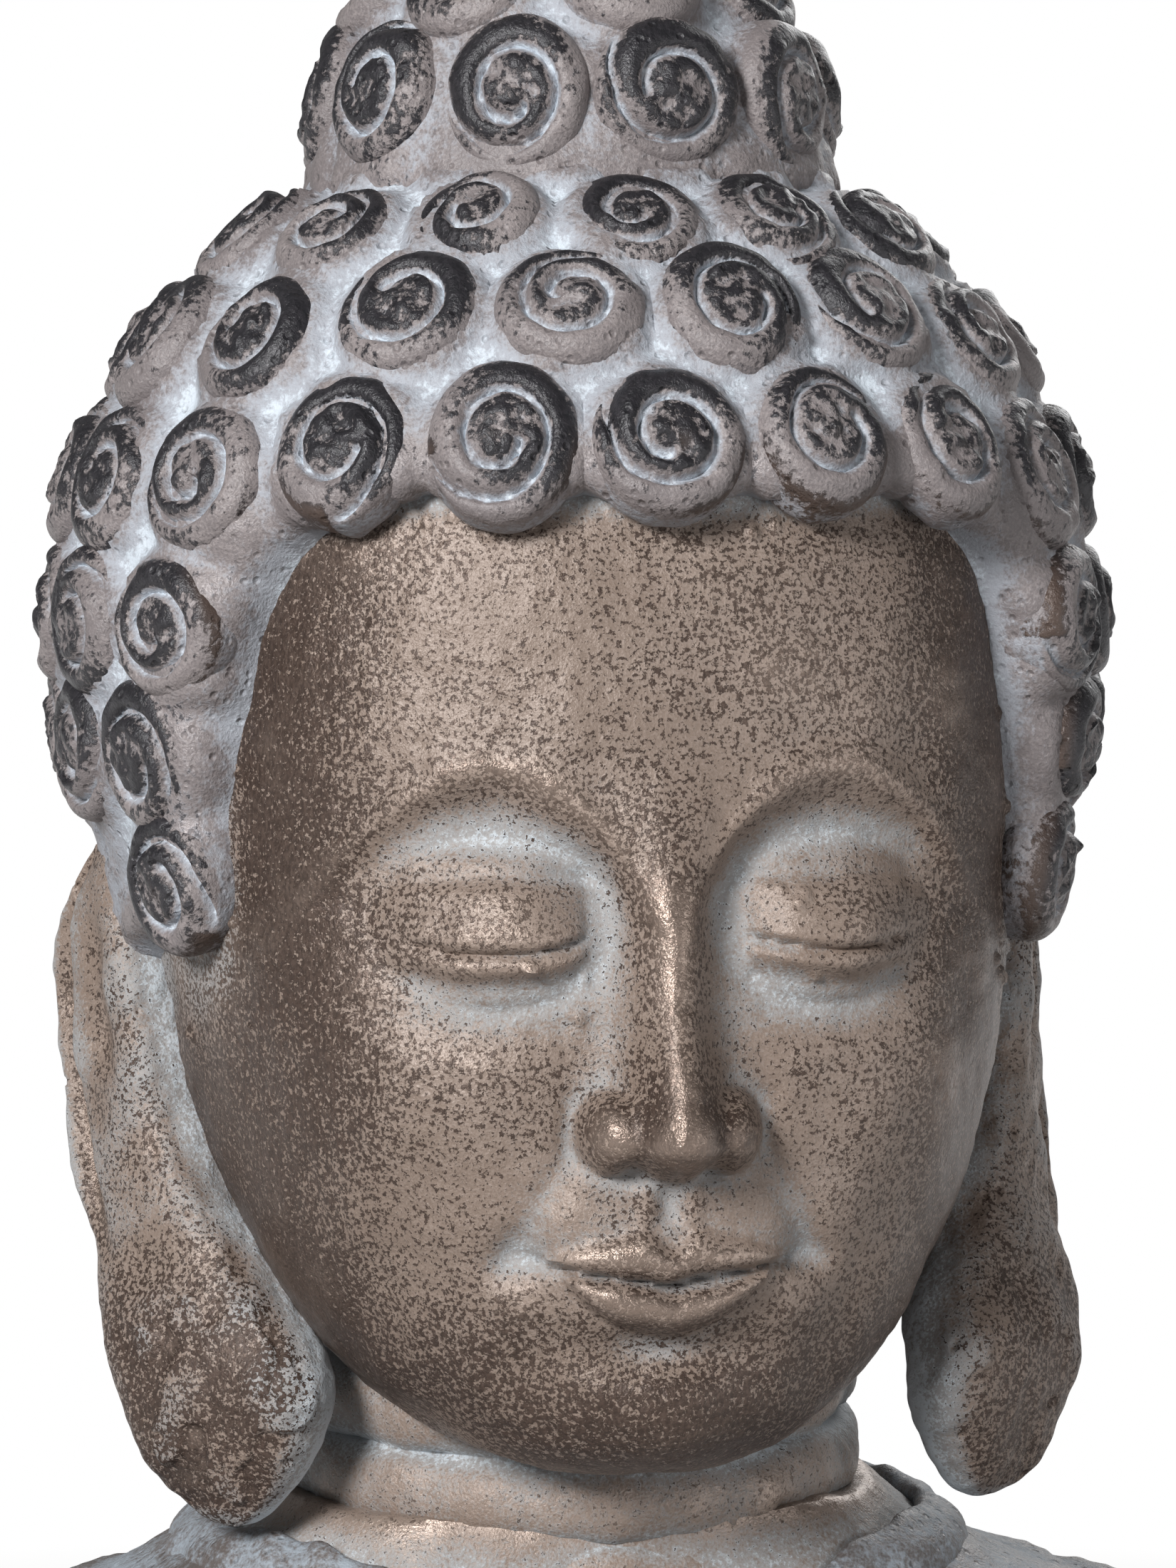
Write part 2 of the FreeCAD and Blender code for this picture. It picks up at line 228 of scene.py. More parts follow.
# Cast cement stone, painted: a matt stain, a pale wash wiped into the hollows, a dark dry brush with a
# dull bronze sheen over the crests and open faces, and a little wax on the proudest places, whose paler colour there
# is a painted highlight
def paintedStone(name, look):
    material, tree = startMaterial(name)
    place = addNode(tree, "ShaderNodeTexCoord").outputs["Object"]
    drawn = addNode(tree, "ShaderNodeMapping", {"Scale": look["brushStretch"]}, {"Vector": place}).outputs[0]
    source = {}
    for key in ("relief", "washed", "brushed", "warm"):  # laid on each piece's points as it is shaped
        source[key] = addNode(tree, "ShaderNodeAttribute", {"attribute_name": key}).outputs["Fac"]
    for key, (sizeMm, detail, rough) in look["spots"].items():
        settings = {"Scale": perMetre(sizeMm), "Detail": detail, "Roughness": rough}
        at = drawn if key == "streak" else place
        source[key] = addNode(tree, "ShaderNodeTexNoise", settings, {"Vector": at}).outputs["Fac"]
    pit = addNode(tree, "ShaderNodeTexVoronoi", {"Scale": perMetre(look["pitMm"])}, {"Vector": place})
    source["pit"] = addNode(tree, "ShaderNodeMapRange", {"From Min": 0.1, "From Max": 0.26},
                            {"Value": pit.outputs["Distance"]}).outputs[0]

    for layer, values in look["layers"].items():  # each is a sum of the sources, cut between two limits
        total = None
        for key, gain in values["of"].items():
            node = addNode(tree, "ShaderNodeMath", {"operation": "MULTIPLY_ADD", 1: gain, 2: 0.0},
                           {0: source[key]})
            if total:
                tree.links.new(total, node.inputs[2])
            total = node.outputs[0]
        source[layer] = addNode(tree, "ShaderNodeMapRange",
                                {"interpolation_type": "SMOOTHSTEP", "From Min": values["low"],
                                 "From Max": values["high"]},
                                {"Value": total}).outputs[0]

    # the wax's paler colour laid over the crests is a painted highlight; its metal and roughness below are the real
    # waxed sheen
    highlightPaintNode = addNode(tree, "ShaderNodeMath", {"operation": "MULTIPLY", 1: look["paintedHighlightTint"]}, {0: source["waxAndPaintedHighlight"]})
    source["paintedHighlightShare"] = highlightPaintNode.outputs[0]
    made = {}
    for key, share, under, over in (
        ("stain", "patchy", "stainDeep", "stain"), ("thin", "wash", "stain", "wash"),
        ("thick", "chalk", "thin", "chalk"),
        ("cold", "streaky", "brushDeep", "brush"), ("dark", "warm", "cold", "brushWarm"),
        ("brushed", "brush", "thick", "dark"), ("colour", "paintedHighlightShare", "brushed", "waxAndPaintedHighlight"),
    ):
        node = addNode(tree, "ShaderNodeMix", {"data_type": "RGBA"}, {0: source[share]})
        for socket, part in ((6, under), (7, over)):
            if part in made:
                tree.links.new(made[part], node.inputs[socket])
            else:
                node.inputs[socket].default_value = linearColour(look[part])
        made[key] = node.outputs[2]

    surface = {}
    for key, base in (("height", 0.0), ("metal", look["metalBase"]), ("rough", look["roughBase"])):
        total = None
        for part, gain in look[key].items():
            node = addNode(tree, "ShaderNodeMath", {"operation": "MULTIPLY_ADD", 1: gain, 2: base}, {0: source[part]})
            if total:
                tree.links.new(total, node.inputs[2])
            total = node.outputs[0]
        surface[key] = total
    bump = addNode(tree, "ShaderNodeBump", {"Distance": look["bumpMm"] * mm}, {"Height": surface["height"]})
    shader = addNode(tree, "ShaderNodeBsdfPrincipled", {"IOR": 1.5},
                     {"Base Color": made["colour"], "Metallic": surface["metal"], "Roughness": surface["rough"],
                      "Normal": bump.outputs[0]})
    addNode(tree, "ShaderNodeOutputMaterial", None, {"Surface": shader.outputs[0]})
    return material


# The sand grain of cast cement is really about 0.1 mm and is drawn coarser, at 0.35 mm, so that it shows
skinLook = {
    "stain": "8a7b71", "stainDeep": "7a6a5f", "wash": "908e8d", "chalk": "b2b8bd",
    "brush": "4b3c34", "brushDeep": "3b2e27", "brushWarm": "4b3c34", "waxAndPaintedHighlight": "b8a598",
    "spots": {"patch": (30, 4, 0.6), "fleck": (0.62, 3, 0.7), "grain": (0.35, 2, 0.5), "streak": (0.5, 3, 0.6)},  # mm
    "brushStretch": (1.0, 1.0, 0.6), "pitMm": 3.4,
    "layers": {
        "patchy": {"of": {"patch": 1.0, "grain": 0.9}, "low": 0.78, "high": 1.14},
        "streaky": {"of": {"streak": 1.0}, "low": 0.4, "high": 0.62},
        "wash": {"of": {"relief": -0.5, "washed": 1.0, "grain": 0.4, "fleck": 1.3, "patch": 0.7},
                 "low": 1.28, "high": 1.75},
        "chalk": {"of": {"relief": -0.4, "washed": 1.0, "grain": 0.5, "fleck": 1.8, "patch": 0.7},
                  "low": 2.0, "high": 2.35},
        "brush": {"of": {"relief": 0.12, "washed": -0.4, "brushed": 0.36, "fleck": 1.5, "streak": 0.12, "patch": 0.5},
                  "low": 1.115, "high": 1.175},
        # wax: crests and patches, given a paler colour that is painted highlight, and a waxed sheen in metal and
        # roughness
        "waxAndPaintedHighlight": {"of": {"relief": 0.35, "patch": 1.0, "streak": 0.3}, "low": 0.65, "high": 1.1},
    },
    "paintedHighlightTint": 0.4,
    "height": {"fleck": 0.5, "grain": 0.45, "pit": 0.4, "streak": 0.18, "brush": 0.25},
    "metal": {"waxAndPaintedHighlight": 0.3, "brush": 0.3, "wash": -0.12}, "metalBase": 0.12,
    "rough": {"wash": 0.2, "waxAndPaintedHighlight": -0.1, "brush": -0.06, "fleck": 0.22}, "roughBase": 0.37,
    "bumpMm": 0.22,
}
hairLook = dict(  # thin lilac-grey wash, pale in the hollows, crests dragged over with charcoal
    skinLook, stain="857d7c", stainDeep="6f6868", wash="999ca3", chalk="bcc4cc",
    brush="29272b", brushDeep="1b1a1e", brushWarm="4a3c35", waxAndPaintedHighlight="8f8c90",
    spots={"patch": (16, 4, 0.6), "fleck": (1.0, 4, 0.72), "grain": (0.4, 2, 0.5), "streak": (0.7, 3, 0.6)},
    pitMm=2.2, paintedHighlightTint=0.2, bumpMm=0.35,
    layers=dict(
        skinLook["layers"],
        wash={"of": {"relief": -0.6, "washed": 1.0, "grain": 0.4, "fleck": 1.3, "patch": 0.8},
              "low": 1.25, "high": 1.85},
        chalk={"of": {"relief": -0.8, "washed": 0.7, "grain": 0.5, "fleck": 1.8, "patch": 0.8},
               "low": 2.1, "high": 2.6},
        brush={"of": {"relief": 0.55, "washed": -0.9, "brushed": 1.0, "fleck": 1.6, "streak": 1.0, "patch": 1.4},
               "low": 2.32, "high": 2.62},
        # the paler wax colour on the crests of the hair is painted highlight too
        waxAndPaintedHighlight={"of": {"relief": 0.5, "patch": 0.9, "streak": 0.9}, "low": 1.3, "high": 1.75},
    ),
    height={"fleck": 0.5, "grain": 0.35, "pit": 0.7, "streak": 0.35, "brush": 0.2},
    metal={"waxAndPaintedHighlight": 0.3, "brush": 0.2}, metalBase=0.0,
)
robeLook = dict(  # a darker stain with more blue-grey wash left on the folds
    hairLook, stain="6b6461", stainDeep="59524f", wash="8f979f", chalk="b2bdc6",
    brush="2e2928", brushDeep="231f1f", brushWarm="2e2928",
)
baseLook = dict(  # unpainted and matt, with the trowel's slight unevenness
    skinLook, stain="8d8881", stainDeep="7e7972", wash="8d8881", chalk="99948d",
    # the slightly paler wax colour on the crests of the bare stone is painted highlight
    brush="7e7972", brushDeep="736e67", brushWarm="7e7972", waxAndPaintedHighlight="99948d",
    metal={"waxAndPaintedHighlight": 0.0}, metalBase=0.0, rough={"fleck": 0.2}, roughBase=0.75, bumpMm=0.4,
)
# in each of these stones the wax colour on the crests is a painted highlight
skinStone = paintedStone("skin stone: cement cast, taupe stain, pale wash, bronze wax", skinLook)
hairStone = paintedStone("hair stone: cement cast, grey wash, charcoal dry brush", hairLook)
robeStone = paintedStone("robe stone: cement cast, dark stain, blue-grey wash", robeLook)
bareStone = paintedStone("base stone: bare trowelled cement", baseLook)


def plainMaterial(name, low, high, grainMm, rough, metal, bumpMm):  # mottled between two colours
    material, tree = startMaterial(name)
    place = addNode(tree, "ShaderNodeTexCoord").outputs["Object"]
    grain = addNode(tree, "ShaderNodeTexNoise", {"Scale": perMetre(grainMm), "Detail": 5.0}, {"Vector": place})
    colour = addNode(tree, "ShaderNodeMix", {"data_type": "RGBA", 6: linearColour(low), 7: linearColour(high)},
                     {0: grain.outputs["Fac"]})
    bump = addNode(tree, "ShaderNodeBump", {"Distance": bumpMm * mm}, {"Height": grain.outputs["Fac"]})
    shader = addNode(tree, "ShaderNodeBsdfPrincipled", {"Roughness": rough, "Metallic": metal},
                     {"Base Color": colour.outputs[2], "Normal": bump.outputs[0]})
    addNode(tree, "ShaderNodeOutputMaterial", None, {"Surface": shader.outputs[0]})
    return material


feltPad = plainMaterial("wool felt, pressed", "2e2b28", "4a4540", 0.8, 0.95, 0.0, 0.4)  # dull, fibrous
steelBar = plainMaterial("mild steel bar, drawn", "8b8c8f", "a9aaad", 0.5, 0.38, 1.0, 0.03)  # soft grey shine
mortar = plainMaterial("cement grout", "8f8a82", "b3aea6", 1.2, 0.9, 0.0, 0.3)  # dry and sandy
for node, material in (("base_plate", bareStone), ("base_pads", feltPad), ("neck_dowel", steelBar),
                       ("neck_grout", mortar)):
    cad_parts[node].data.materials.clear()
    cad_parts[node].data.materials.append(material)
print("paint mixed")


head = {
    "segments": 440, "rings": 300, "frontShare": 0.55, "middleShare": 0.3,
    "middle": 175.0, "rise": 85.0, "drop": 77.0,
    "halfWidth": 55.5, "halfDepth": 62.0, "jawBack": 33.0, "cheekPower": 2.35,
    "seam": 0.0, "jawLine": (97.5, 101), "frontFrom": (5, 30),
    "uneven": ((0.22, 16, 3), (0.07, 4, 4)), "bubbles": 60, "bubble": (0.5, 1.1),
}
opening = {"halfWidth": 51.8, "top": 221.5, "corner": 23.0, "edge": 2.6}  # where the hair lets the face out
hairRim = {"front": (-30.0, 170.0), "back": (60.0, 136.0)}


def openingDistance(x, z):  # below 0 inside the arch of the face
    across = np.abs(x) - (opening["halfWidth"] - opening["corner"])
    up = z - (opening["top"] - opening["corner"])
    outside = np.hypot(np.maximum(across, 0), np.maximum(up, 0))
    return outside + np.minimum(np.maximum(across, up), 0) - opening["corner"]


def rimDistance(y, z):  # above 0 where hair grows
    (y0, z0), (y1, z1) = hairRim["front"], hairRim["back"]
    slope = (z1 - z0) / (y1 - y0)
    return (z - z0 - slope * (y - y0)) / math.hypot(1, slope)


nose = {
    "level": [130, 136.6, 138.2, 139.8, 141.8, 144.8, 149, 156, 164, 171, 178, 186, 198],
    "stand": [0, 0.2, 2.2, 8.2, 12.6, 13.9, 12.6, 9.8, 7.2, 5.4, 3.6, 1.5, 0],
    "width": [7.2, 7.2, 7.2, 7.2, 7.2, 6.9, 6.0, 5.4, 5.3, 5.8, 7.2, 10, 14],
    "ridgePower": 2.3, "wingStand": 8.6, "wingAt": (6.9, 144.0), "wingSize": (4.9, 5.6), "wingBlend": 2.4,
    "nostril": 3.0, "nostrilAt": (4.6, 139.5), "nostrilSize": (2.3, 1.6),
    "crease": 0.9, "creaseAt": (12.2, 145.5), "creaseSize": (1.8, 4.6),
}


def noseRelief(ax, z):
    width = curveThrough(z, nose["level"], nose["width"])
    ridge = curveThrough(z, nose["level"], nose["stand"]) * np.exp(-(ax / width) ** nose["ridgePower"])
    wingX, wingZ = (ax - nose["wingAt"][0]) / nose["wingSize"][0], (z - nose["wingAt"][1]) / nose["wingSize"][1]
    wing = nose["wingStand"] * np.clip(1 - wingX ** 2 - wingZ ** 2, 0, 1) ** 0.62
    form = softMax(ridge, wing, nose["wingBlend"]) - nose["wingBlend"] / 2
    form -= nose["nostril"] * bell(ax, z, nose["nostrilAt"], nose["nostrilSize"])  # on the underside
    form -= nose["crease"] * bell(ax, z, nose["creaseAt"], nose["creaseSize"])  # round the wing
    return form * smooth(20, 14, ax)


eye = {
    "across": 20.8, "half": 11.4, "line": 168.5,
    "browTop": 187.5, "browAt": 21.0, "browFall": (0.047, 0.034), "browStand": 0.9, "browHalf": 2.4,
    "socket": 4.0, "socketAt": (21.5, 173.5), "socketSize": (17.5, 13.5),
    "corner": 2.2, "cornerAt": (9.4, 170.0), "cornerSize": (4.8, 7.5),
    "ball": 6.4, "ballWide": 1.28, "ballHigh": 10.4, "slitDrop": 2.4, "slitBow": 1.5, "slitSlant": 0.4,
    "upperLid": 0.9, "slitDepth": 0.9, "slitHalf": 0.55, "lowerLid": 0.7, "underLid": 0.6,
    "fold": 0.75, "foldHalf": 0.8, "foldUp": 3.4, "foldBow": 5.6,
    "bag": 0.6, "bagAt": (21, 156.5), "bagSize": (14, 3.0),
}


def eyeRelief(ax, z):
    t = (ax - eye["across"]) / eye["half"]
    inside = np.clip(1 - t * t, 0, 1)
    brow = eye["browTop"] - np.where(ax < eye["browAt"], *eye["browFall"]) * (ax - eye["browAt"]) ** 2
    socket = -eye["socket"] * bell(ax, z, eye["socketAt"], eye["socketSize"], 1.4) * smooth(-1.5, 5.5, brow - z)
    socket -= eye["corner"] * bell(ax, z, eye["cornerAt"], eye["cornerSize"])  # inner, beside the bridge
    browEdge = eye["browStand"] * np.exp(-((z - brow - 1.0) / eye["browHalf"]) ** 2)
    browEdge *= smooth(46, 30, ax) * smooth(3, 9, ax)
    across, up = t / eye["ballWide"], (z - eye["line"] - 0.6) / eye["ballHigh"]
    ball = eye["ball"] * np.clip(1 - across ** 2 - up ** 2, 0, 1) ** 1.15
    above = z - (eye["line"] - eye["slitDrop"] + eye["slitBow"] * t * t - eye["slitSlant"] * t)
    lids = eye["upperLid"] * smooth(-0.4, 0.4, above) * np.exp(-np.maximum(above, 0) / 7.0)
    lids -= eye["slitDepth"] * np.exp(-((above + 0.1) / eye["slitHalf"]) ** 2)
    lids += eye["lowerLid"] * np.exp(-((above + 2.0) / 1.0) ** 2)
    lids -= eye["underLid"] * np.exp(-((above + 4.6) / 1.2) ** 2)
    lids *= smooth(0.0, 0.3, inside)
    fold = above - eye["foldUp"] - eye["foldBow"] * np.sqrt(np.clip(1 - (t / 1.2) ** 2, 0, 1))
    lids -= eye["fold"] * np.exp(-(fold / eye["foldHalf"]) ** 2) * smooth(1.2, 0.85, np.abs(t))
    return socket + browEdge + ball + lids - eye["bag"] * bell(ax, z, eye["bagAt"], eye["bagSize"])


mouth = {
    "line": 125.4, "half": 15.8, "smile": 2.1, "dip": 0.7, "upperHigh": 6.0, "bowPeak": 0.8, "bowDip": 1.0,
    "lowerHigh": 6.8, "lowerHalf": 13.6, "upperStand": 2.4, "lowerStand": 3.2, "parting": 1.5, "partingHalf": 0.7,
    "corner": 1.9, "cornerAt": (17.0, 127.8), "under": 2.2, "underAt": (0, 116.0),
    "philtrum": (132.25, 137.5), "philtrumRidge": 0.6, "philtrumDip": 0.9, "mound": 3.6, "moundAt": (0, 127.5),
}


def mouthRelief(ax, z):
    s = ax / mouth["half"]
    taper = np.clip(1 - s * s, 0, 1)
    line = mouth["line"] + mouth["smile"] * s ** 2 - mouth["dip"] * np.exp(-(ax / 2.6) ** 2)
    upper = mouth["upperHigh"] * taper ** 0.85 + mouth["bowPeak"] * np.exp(-((ax - 3.8) / 2.3) ** 2) + 0.05
    upper -= mouth["bowDip"] * np.exp(-(ax / 1.8) ** 2)
    lowerShare = np.clip(1 - (ax / mouth["lowerHalf"]) ** 2, 0, 1)
    lower = mouth["lowerHigh"] * lowerShare ** 0.75 + 0.05
    up = np.clip((z - line) / upper, 0, 1)
    down = np.clip((line - z) / lower, 0, 1)
    lips = mouth["upperStand"] * np.sin(math.pi * up) ** 0.6 * taper ** 0.35
    lips += mouth["lowerStand"] * np.sin(math.pi * down) ** 0.65 * lowerShare ** 0.4
    lips -= mouth["parting"] * np.exp(-((z - line) / mouth["partingHalf"]) ** 2) * smooth(1.15, 0.9, np.abs(s))
    lips -= mouth["corner"] * bell(ax, z, mouth["cornerAt"], (3.0, 3.0))
    lips -= mouth["under"] * bell(ax, z, mouth["underAt"], (11, 3.2))
    low, high = mouth["philtrum"]
    groove = smooth(low - 0.75, low + 0.75, z) * smooth(high + 1, high - 1, z)
    ridges = mouth["philtrumRidge"] * np.exp(-((ax - 3.1) / 1.3) ** 2)
    lips += groove * (ridges - mouth["philtrumDip"] * np.exp(-(ax / 1.6) ** 2))
    return lips + mouth["mound"] * bell(ax, z, mouth["moundAt"], (20, 14.5), 1.2)


swells = {  # stand, place and reach of the broad forms of the face
    "chin": (4.0, (0, 106.5), (14, 8.0)), "cheeks": (3.0, (31, 148), (15, 16)), "forehead": (0.8, (0, 204), (32, 13)),
}
cheekFold = {"from": (12, 141), "run": (8, -14), "depth": 1.1, "half": 2.4}


def faceRelief(ax, z):  # how far the plain form is pushed out to the front
    out = noseRelief(ax, z) + eyeRelief(ax, z) + mouthRelief(ax, z)
    for stand, place, reach in swells.values():
        out += stand * bell(ax, z, place, reach)
    (x0, z0), (runX, runZ) = cheekFold["from"], cheekFold["run"]
    t = np.clip(((ax - x0) * runX + (z - z0) * runZ) / (runX ** 2 + runZ ** 2), 0, 1)
    fold = np.hypot(ax - x0 - runX * t, z - z0 - runZ * t)
    return out - cheekFold["depth"] * np.exp(-(fold / cheekFold["half"]) ** 2)


faceWash = (  # amount, place and reach of the pale wash left in the hollows of the face
    (0.36, (12, 165), (8, 10)), (0.3, (24, 159), (11, 4)), (0.3, (22, 179), (14, 4)), (0.3, (16, 131), (6, 8)),
)
faceBrush = ((0.6, (0, 146), (11, 7)), (0.3, (0, 172), (7, 16)), (-0.25, (13, 132), (6, 10)))  # and of the dry brush


def makeHead():
    ball = startBall("head_form", head["segments"], head["rings"])
    azimuth, down = ballAngles(ball, head["frontShare"], head["middleShare"])
    ringWide, c = np.sin(down), np.cos(down)
    low = c < 0
    z = head["middle"] + np.where(low, head["drop"], head["rise"]) * c
    wide = head["halfWidth"] * np.where(low, ringWide ** 0.75, ringWide ** 0.55)
    deep = head["halfDepth"] * np.where(low, ringWide ** 0.60, ringWide ** 0.5)
    middleY = -1 - np.where(low, head["jawBack"] * (1 - ringWide) ** 1.2, 0)
    power = 2 / head["cheekPower"]
    x = wide * np.sign(np.sin(azimuth)) * np.abs(np.sin(azimuth)) ** power
    y = middleY - deep * np.sign(np.cos(azimuth)) * np.abs(np.cos(azimuth)) ** power
    front = smooth(*head["frontFrom"], -y) * smooth(*head["jawLine"], z)
    y = y - front * faceRelief(np.abs(x), z)
    points = np.stack([x, y, z], 1)
    setPoints(ball, points)
    normals = normalsOf(ball)
    points += normals * uneven(points, head["uneven"])[:, None]
    ax = np.abs(x)
    edge = openingDistance(x, z)
    innerCorner = np.hypot((ax - 13) / 6, (z - 166) / 9) < 1
    beside = (y < -8) & (((edge > -5) & (edge < 1)) | innerCorner)
    points = addBubbles(points, normals, beside & (z > 150), head["bubbles"], head["bubble"], 5)
    setPoints(ball, points)
    addRelief(ball, 4.0, 1.1)
    wash = 0.6 * smooth(-5.0, 0.0, edge) * smooth(140, 165, z)
    for amount, place, reach in faceWash:
        wash += amount * bell(ax, z, place, reach)
    wash += 0.7 * smooth(108, 98, z) * smooth(-50, -40, y)
    wash += 0.25 * smooth(-12, 5, y)
    setAttribute(ball, "washed", np.clip(wash, 0, 1))
    brushed = 0.6 * smooth(28, 44, ax) + 0.55 * smooth(132, 106, z)  # darker round the sides and the jaw
    for amount, place, reach in faceBrush:
        brushed += amount * bell(ax, z, place, reach)
    setAttribute(ball, "brushed", np.clip(brushed, -0.5, 1))
    for name, isFront, node in (("face", True, "face_shell"), ("head_rear", False, "rear_head_shell")):
        half = keepHalf(ball, name, isFront, head["seam"])
        finishPiece(half, node, skinStone)
    bpy.data.objects.remove(ball)


makeHead()


scalp = {
    "radius": 65.0, "middle": 202.0, "taper": 8.0, "bottom": 122.0, "segments": 300, "rings": 200,
    "closing": 0.07,  # share of the way down that draws in to the lowest point
    "sink": 9.0,  # how far it goes under the skin where no hair grows
    "fillet": 3.0, "uneven": ((0.3, 7, 11), (0.12, 2.6, 12)), "bubbles": 700, "rimWash": 0.35,
}
topknot = {
    "radius": 30.0, "middleY": 2.0, "middle": 264.5, "segments": 160, "rings": 110,
    "fillet": 2.3, "uneven": ((0.3, 7, 21), (0.1, 2.6, 22)), "bubbles": 120,
    "foot": 3.0, "footLevel": 259.0, "footReach": 7.0,
}


def curlPlaces(node):  # each curl's foot on the scalp, outward way and radius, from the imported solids
    onTopknot = node.startswith("topknot")
    base = topknot if onTopknot else scalp
    centre = np.array([0, topknot["middleY"] if onTopknot else 0, base["middle"]])
    lean = math.radians(scalp["taper"])
    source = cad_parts[node]
    points, edges = pointsOf(source), edgesOf(source)
    keys = np.round(points * 50).astype(np.int64)
    _, same = np.unique(keys, axis=0, return_inverse=True)
    same = same.ravel()
    label = np.arange(same.max() + 1)
    a, b = same[edges[:, 0]], same[edges[:, 1]]
    while True:
        lowest = np.minimum(label[a], label[b])
        before = label.copy()
        np.minimum.at(label, a, lowest)
        np.minimum.at(label, b, lowest)
        label = label[label]
        if (label == before).all():
            break
    places = []
    for mark in np.unique(label):
        solid = points[label[same] == mark]
        middle = (solid.min(0) + solid.max(0)) / 2
        way = middle - centre
        way /= np.linalg.norm(way)
        if not onTopknot and way[2] < -math.sin(lean):  # on the tapered side
            flat = way[:2] / np.linalg.norm(way[:2])
            way = np.array([*(flat * math.cos(lean)), -math.sin(lean)])
            drop = scalp["middle"] - scalp["radius"] * math.sin(lean) - middle[2]
            ring = scalp["radius"] * math.cos(lean) - drop * math.tan(lean)
            foot = np.array([*(flat * ring), middle[2]])
        else:
            foot = centre + way * base["radius"]
        side = np.cross(way, (0, 0, 1.0) if abs(way[2]) < 0.9 else (1.0, 0, 0))
        side /= np.linalg.norm(side)
        radius = ((solid @ side).max() - (solid @ side).min()) / 2
        places.append((foot, way, radius))
    return places


curlRings = ["nape", "lower_back", "lower_side", "side", "temple", "hairline", "crown_lower", "crown_upper",
             "topknot_base", "topknot_lower", "topknot_upper"]
curlNodes = [ring + "_curls" for ring in curlRings] + ["topknot_crown_curl"]
allCurls = {node: curlPlaces(node) for node in curlNodes}
print("curls found", sum(len(places) for places in allCurls.values()))


mortarBed = {"reach": 2.4, "bubble": (0.45, 1.0), "washed": 0.38}


def curlFillet(points):  # mortar drawn up against the foot of each curl
    feet = np.array([foot for places in allCurls.values() for foot, _, _ in places])
    sizes = np.array([radius for places in allCurls.values() for _, _, radius in places])
    best = np.full(len(points), 99.0)
    for foot, size in zip(feet, sizes):
        best = np.minimum(best, np.abs(np.linalg.norm(points - foot, axis=1)) - size)
    return np.exp(-np.maximum(best, 0) / mortarBed["reach"])


def makeScalp():
    ball = startBall("scalp", scalp["segments"], scalp["rings"])
    azimuth, down = ballAngles(ball)
    lean = math.radians(scalp["taper"])
    joint = math.pi / 2 + lean
    jointZ = scalp["middle"] - scalp["radius"] * math.sin(lean)
    below = np.clip((down - joint) / (math.pi * (1 - scalp["closing"]) - joint), 0, 1)
    z = np.where(down < joint, scalp["middle"] + scalp["radius"] * np.cos(down),
                 jointZ + (scalp["bottom"] - jointZ) * below)
    ring = np.where(down < joint, scalp["radius"] * np.sin(down),
                    scalp["radius"] * math.cos(lean) - (jointZ - z) * math.tan(lean))
    ring *= np.clip((math.pi - down) / (math.pi * scalp["closing"]), 0, 1)
    points = np.stack([ring * np.sin(azimuth), -ring * np.cos(azimuth), z], 1)
    fillet = curlFillet(points)
    edge = np.where(points[:, 1] < 0, openingDistance(points[:, 0], points[:, 2]), 99)
    hair = np.minimum(edge, rimDistance(points[:, 1], points[:, 2]))
    outward = np.stack([np.sin(azimuth), -np.cos(azimuth), np.zeros(len(azimuth))], 1)
    sunk = scalp["sink"] * smooth(opening["edge"], -opening["edge"], hair)
    points -= outward * sunk[:, None]
    setPoints(ball, points)
    normals = normalsOf(ball)
    rise = scalp["fillet"] * fillet + uneven(points, scalp["uneven"])
    points += normals * (rise * smooth(-1, 2, hair))[:, None]
    points = addBubbles(points, normals, (hair > 1) & (fillet < 0.9), scalp["bubbles"], mortarBed["bubble"], 13)
    setPoints(ball, points)
    addRelief(ball, 4.0, 0.9)
    setAttribute(ball, "washed", mortarBed["washed"] + scalp["rimWash"] * smooth(5, 0, hair))
    finishPiece(ball, "scalp_shell", hairStone)


def makeTopknot():
    ball = startBall("topknot", topknot["segments"], topknot["rings"])
    azimuth, down = ballAngles(ball)
    ring = topknot["radius"] * np.sin(down)
    points = np.stack([ring * np.sin(azimuth), topknot["middleY"] - ring * np.cos(azimuth),
                       topknot["middle"] + topknot["radius"] * np.cos(down)], 1)
    setPoints(ball, points)
    normals = normalsOf(ball)
    fillet = curlFillet(points)
    low = np.exp(-((points[:, 2] - topknot["footLevel"]) / topknot["footReach"]) ** 2)
    rise = topknot["fillet"] * fillet + topknot["foot"] * low  # the foot is mortar drawn down on to the crown
    rise += uneven(points, topknot["uneven"])
    points += normals * rise[:, None]
    shown = points[:, 2] > topknot["footLevel"] - 1
    points = addBubbles(points, normals, shown & (fillet < 0.9), topknot["bubbles"], mortarBed["bubble"], 23)
    setPoints(ball, points)
    addRelief(ball, 4.0, 0.9)
    setAttribute(ball, "washed", np.full(len(points), mortarBed["washed"]))
    finishPiece(ball, "topknot_shell", hairStone)


makeScalp()
makeTopknot()


